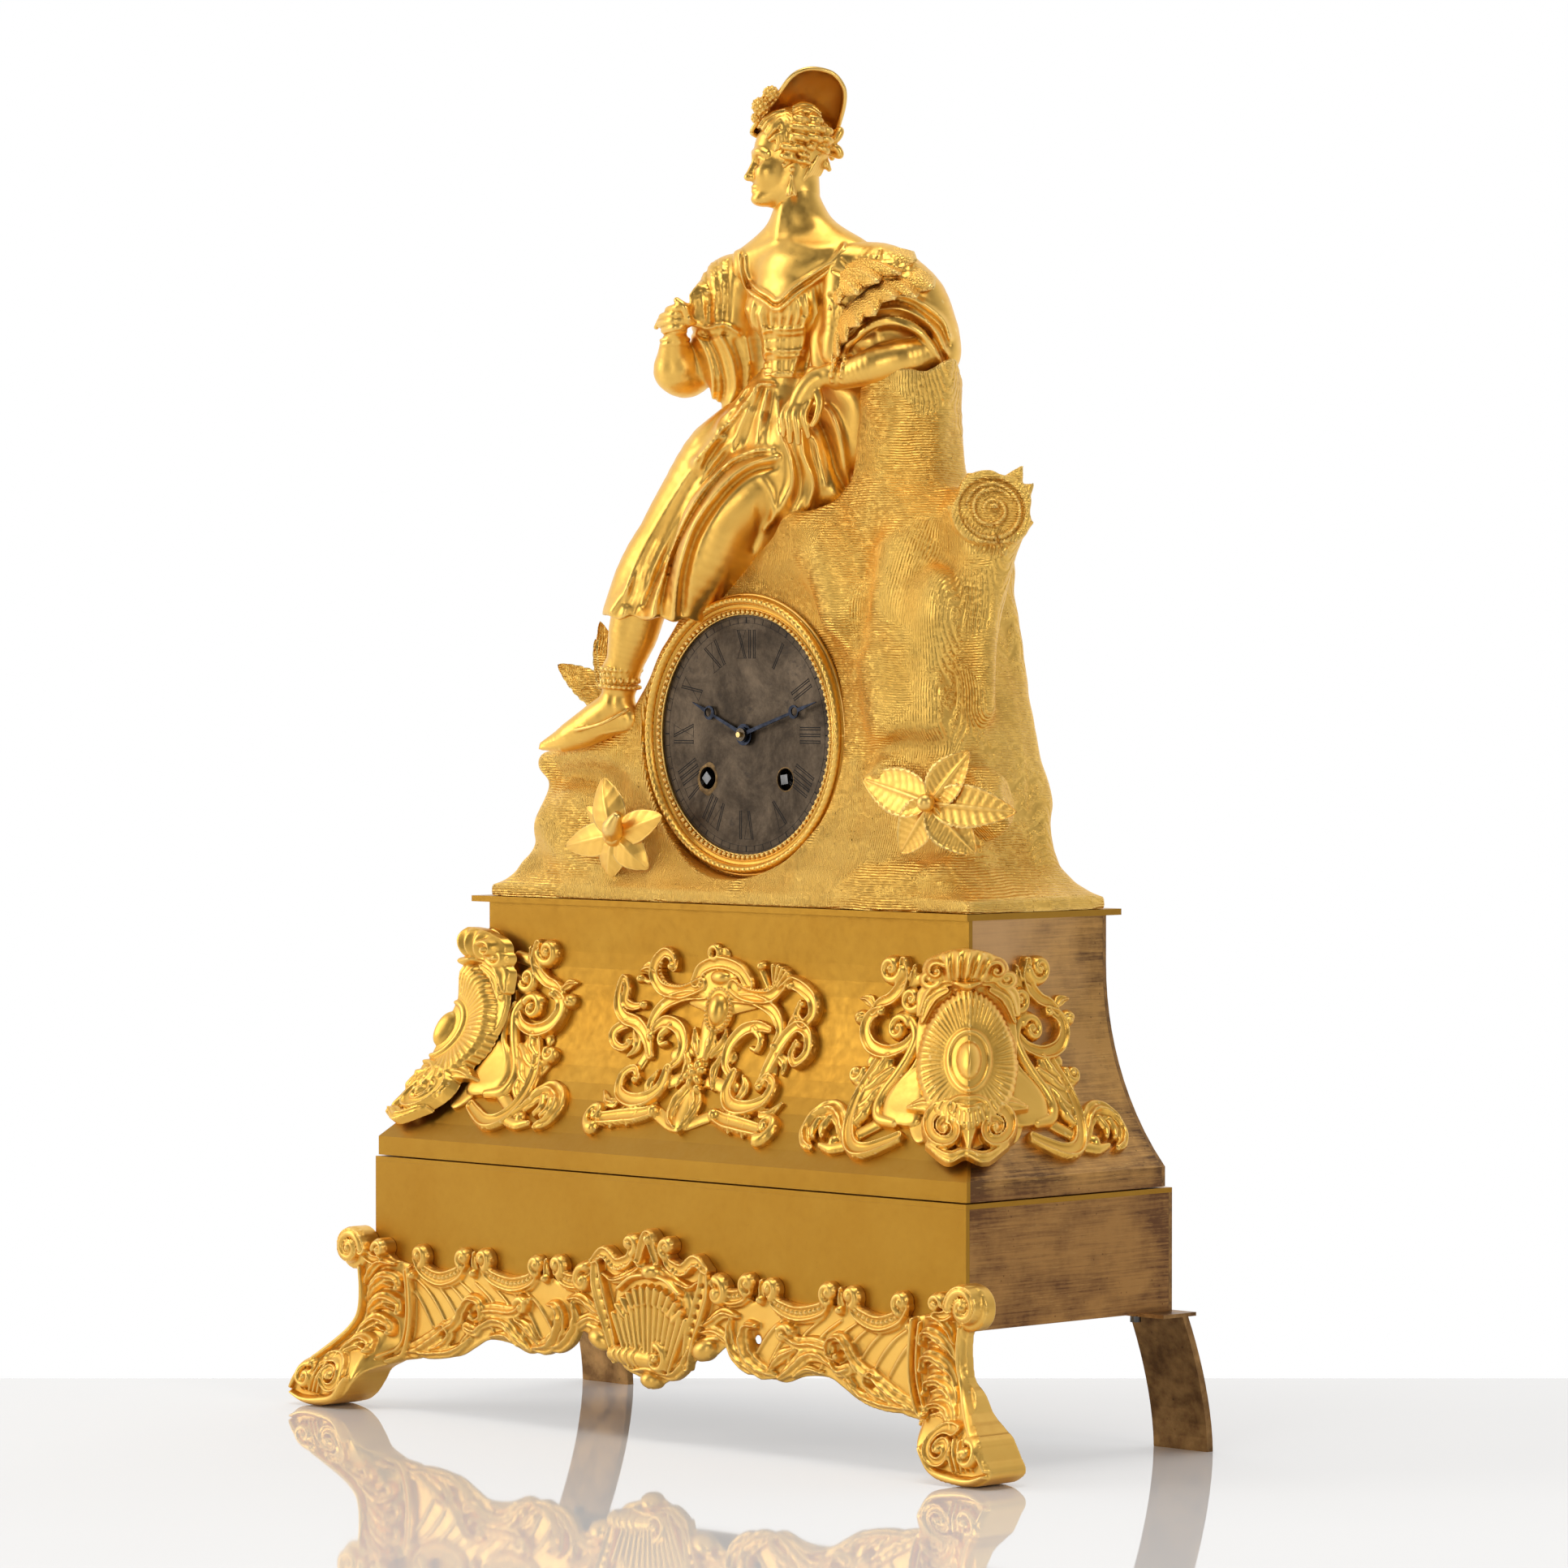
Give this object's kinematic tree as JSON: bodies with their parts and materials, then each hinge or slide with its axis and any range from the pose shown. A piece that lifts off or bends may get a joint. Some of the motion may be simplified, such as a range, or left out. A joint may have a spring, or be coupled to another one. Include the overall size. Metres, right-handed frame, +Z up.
{
  "type": "mantel clock",
  "caption": "Gilt bronze mantel clock with a seated figure on a rock, round drum movement with striking train and pendulum, on a two-tier scrolled base.",
  "frame": {"origin": "centre of the footprint box on the floor", "axes": "+Z up, front and dial towards -Y, viewer's right +X"},
  "size_m": [0.3704, 0.1394, 0.5017],
  "materials": {
    "gilt_bronze": "satin mercury gilding with burnished highlights",
    "rubbed_gilt": "rubbed gilding over bronze, brown patina",
    "raw_brass": "ungilt brass, dull and tarnished",
    "movement_brass": "lacquered movement brass",
    "dial_silver": "tarnished silvered brass",
    "blued_steel": "blued steel",
    "steel": "bright steel",
    "bell_metal": "turned bell metal"
  },
  "bodies": {
    "case": {"apron_front": "gilt_bronze", "rear_foot_left": "raw_brass", "rear_foot_right": "raw_brass", "foot_screws": "steel", "plinth_front": "gilt_bronze", "plinth_side_left": "rubbed_gilt", "plinth_side_right": "rubbed_gilt", "plinth_back": "raw_brass", "plinth_top_frame": "raw_brass", "pedestal_front": "gilt_bronze", "pedestal_side_left": "rubbed_gilt", "pedestal_side_right": "rubbed_gilt", "pedestal_back": "raw_brass", "top_plate": "raw_brass", "corner_mount_left": "gilt_bronze", "corner_mount_right": "gilt_bronze", "centre_mount": "gilt_bronze", "rock_mound": "gilt_bronze", "flower_left": "gilt_bronze", "flower_right": "gilt_bronze", "figure_skirt": "gilt_bronze", "figure_bodice": "gilt_bronze", "figure_head": "gilt_bronze", "figure_hat": "gilt_bronze", "figure_arm_right": "gilt_bronze", "figure_arm_left": "gilt_bronze", "figure_leg": "gilt_bronze", "bezel_ring": "gilt_bronze", "bead_ring": "gilt_bronze", "dial": "dial_silver", "front_plate": "movement_brass", "back_plate": "movement_brass", "pillars": "movement_brass", "movement_straps": "movement_brass", "suspension_cock": "movement_brass", "bell": "bell_metal", "bell_stand": "steel"},
    "minute": {"minute_hand": "blued_steel", "hand_collet": "movement_brass", "cannon_pinion": "steel"},
    "hour": {"hour_hand": "blued_steel", "hour_wheel": "movement_brass"},
    "motion_wheel": {"minute_wheel": "movement_brass"},
    "going_barrel_b": {"going_barrel": "movement_brass"},
    "going_winder": {"going_winding_arbor": "steel"},
    "strike_barrel_b": {"strike_barrel": "movement_brass"},
    "strike_winder": {"strike_winding_arbor": "steel"},
    "intermediate": {"going_intermediate_wheel": "movement_brass"},
    "centre": {"centre_wheel": "movement_brass"},
    "third": {"third_wheel": "movement_brass"},
    "escape": {"escape_wheel": "movement_brass"},
    "anchor": {"anchor_crutch": "steel"},
    "pendulum": {"pendulum_rod": "movement_brass", "pendulum_bob": "movement_brass"},
    "strike_second": {"strike_second_wheel": "movement_brass"},
    "strike_pin": {"pin_wheel": "movement_brass"},
    "fly": {"strike_fly": "movement_brass"},
    "hammer_b": {"hammer": "steel"}
  },
  "joints": [
    {"name": "minute_hand_turn", "type": "hinge", "parent": "case", "child": "minute", "pos_m": [0, -0.0043, 0.2572], "axis": [0, 1, 0], "continuous": true},
    {"name": "hour_hand_turn", "type": "hinge", "parent": "case", "child": "hour", "pos_m": [0, -0.0043, 0.2572], "axis": [0, 1, 0], "continuous": true},
    {"name": "minute_wheel_turn", "type": "hinge", "parent": "case", "child": "motion_wheel", "pos_m": [0.00848, 0.0007, 0.26569], "axis": [0, 1, 0], "continuous": true},
    {"name": "going_barrel_turn", "type": "hinge", "parent": "case", "child": "going_barrel_b", "pos_m": [0.0205, 0.0187, 0.2409], "axis": [0, 1, 0], "continuous": true},
    {"name": "going_wind", "type": "hinge", "parent": "case", "child": "going_winder", "pos_m": [0.0205, 0.0187, 0.2409], "axis": [0, 1, 0], "continuous": true},
    {"name": "strike_barrel_turn", "type": "hinge", "parent": "case", "child": "strike_barrel_b", "pos_m": [-0.0205, 0.0187, 0.2409], "axis": [0, 1, 0], "continuous": true},
    {"name": "strike_wind", "type": "hinge", "parent": "case", "child": "strike_winder", "pos_m": [-0.0205, 0.0187, 0.2409], "axis": [0, 1, 0], "continuous": true},
    {"name": "intermediate_turn", "type": "hinge", "parent": "case", "child": "intermediate", "pos_m": [0.01406, 0.0187, 0.25899], "axis": [0, 1, 0], "continuous": true},
    {"name": "centre_turn", "type": "hinge", "parent": "case", "child": "centre", "pos_m": [0, 0.0187, 0.2572], "axis": [0, 1, 0], "continuous": true},
    {"name": "third_turn", "type": "hinge", "parent": "case", "child": "third", "pos_m": [-0.00658, 0.0187, 0.26847], "axis": [0, 1, 0], "continuous": true},
    {"name": "escape_turn", "type": "hinge", "parent": "case", "child": "escape", "pos_m": [0, 0.0187, 0.2782], "axis": [0, 1, 0], "continuous": true},
    {"name": "anchor_rock", "type": "hinge", "parent": "case", "child": "anchor", "pos_m": [0, 0.0337, 0.2902], "axis": [0, 1, 0], "range_deg": [-3, 3]},
    {"name": "pendulum_swing", "type": "hinge", "parent": "case", "child": "pendulum", "pos_m": [0, 0.0437, 0.2902], "axis": [0, 1, 0], "range_deg": [-3, 3]},
    {"name": "strike_second_turn", "type": "hinge", "parent": "case", "child": "strike_second", "pos_m": [-0.02383, 0.0187, 0.25981], "axis": [0, 1, 0], "continuous": true},
    {"name": "pin_wheel_turn", "type": "hinge", "parent": "case", "child": "strike_pin", "pos_m": [-0.02189, 0.0187, 0.27086], "axis": [0, 1, 0], "continuous": true},
    {"name": "fly_turn", "type": "hinge", "parent": "case", "child": "fly", "pos_m": [-0.01845, 0.0187, 0.2803], "axis": [0, 1, 0], "continuous": true},
    {"name": "hammer_lift", "type": "hinge", "parent": "case", "child": "hammer_b", "pos_m": [-0.0315, 0.0487, 0.2782], "axis": [0, 1, 0], "range_deg": [-12, 0], "stiffness_Nm_per_rad": 0.002, "springref_deg": 5.73}
  ],
  "couplings": [
    {"joint": "hour_hand_turn", "follows": "minute_hand_turn", "ratio": 0.083333},
    {"joint": "minute_wheel_turn", "follows": "minute_hand_turn", "ratio": -0.33333},
    {"joint": "centre_turn", "follows": "third_turn", "ratio": -0.0875},
    {"joint": "escape_turn", "follows": "third_turn", "ratio": -11.429},
    {"joint": "intermediate_turn", "follows": "third_turn", "ratio": 0.010937},
    {"joint": "going_barrel_turn", "follows": "third_turn", "ratio": -0.0015625},
    {"joint": "anchor_rock", "follows": "pendulum_swing", "ratio": 1},
    {"joint": "strike_second_turn", "follows": "pin_wheel_turn", "ratio": -0.13333},
    {"joint": "strike_barrel_turn", "follows": "pin_wheel_turn", "ratio": 0.019048},
    {"joint": "fly_turn", "follows": "pin_wheel_turn", "ratio": -8.5714}
  ]
}
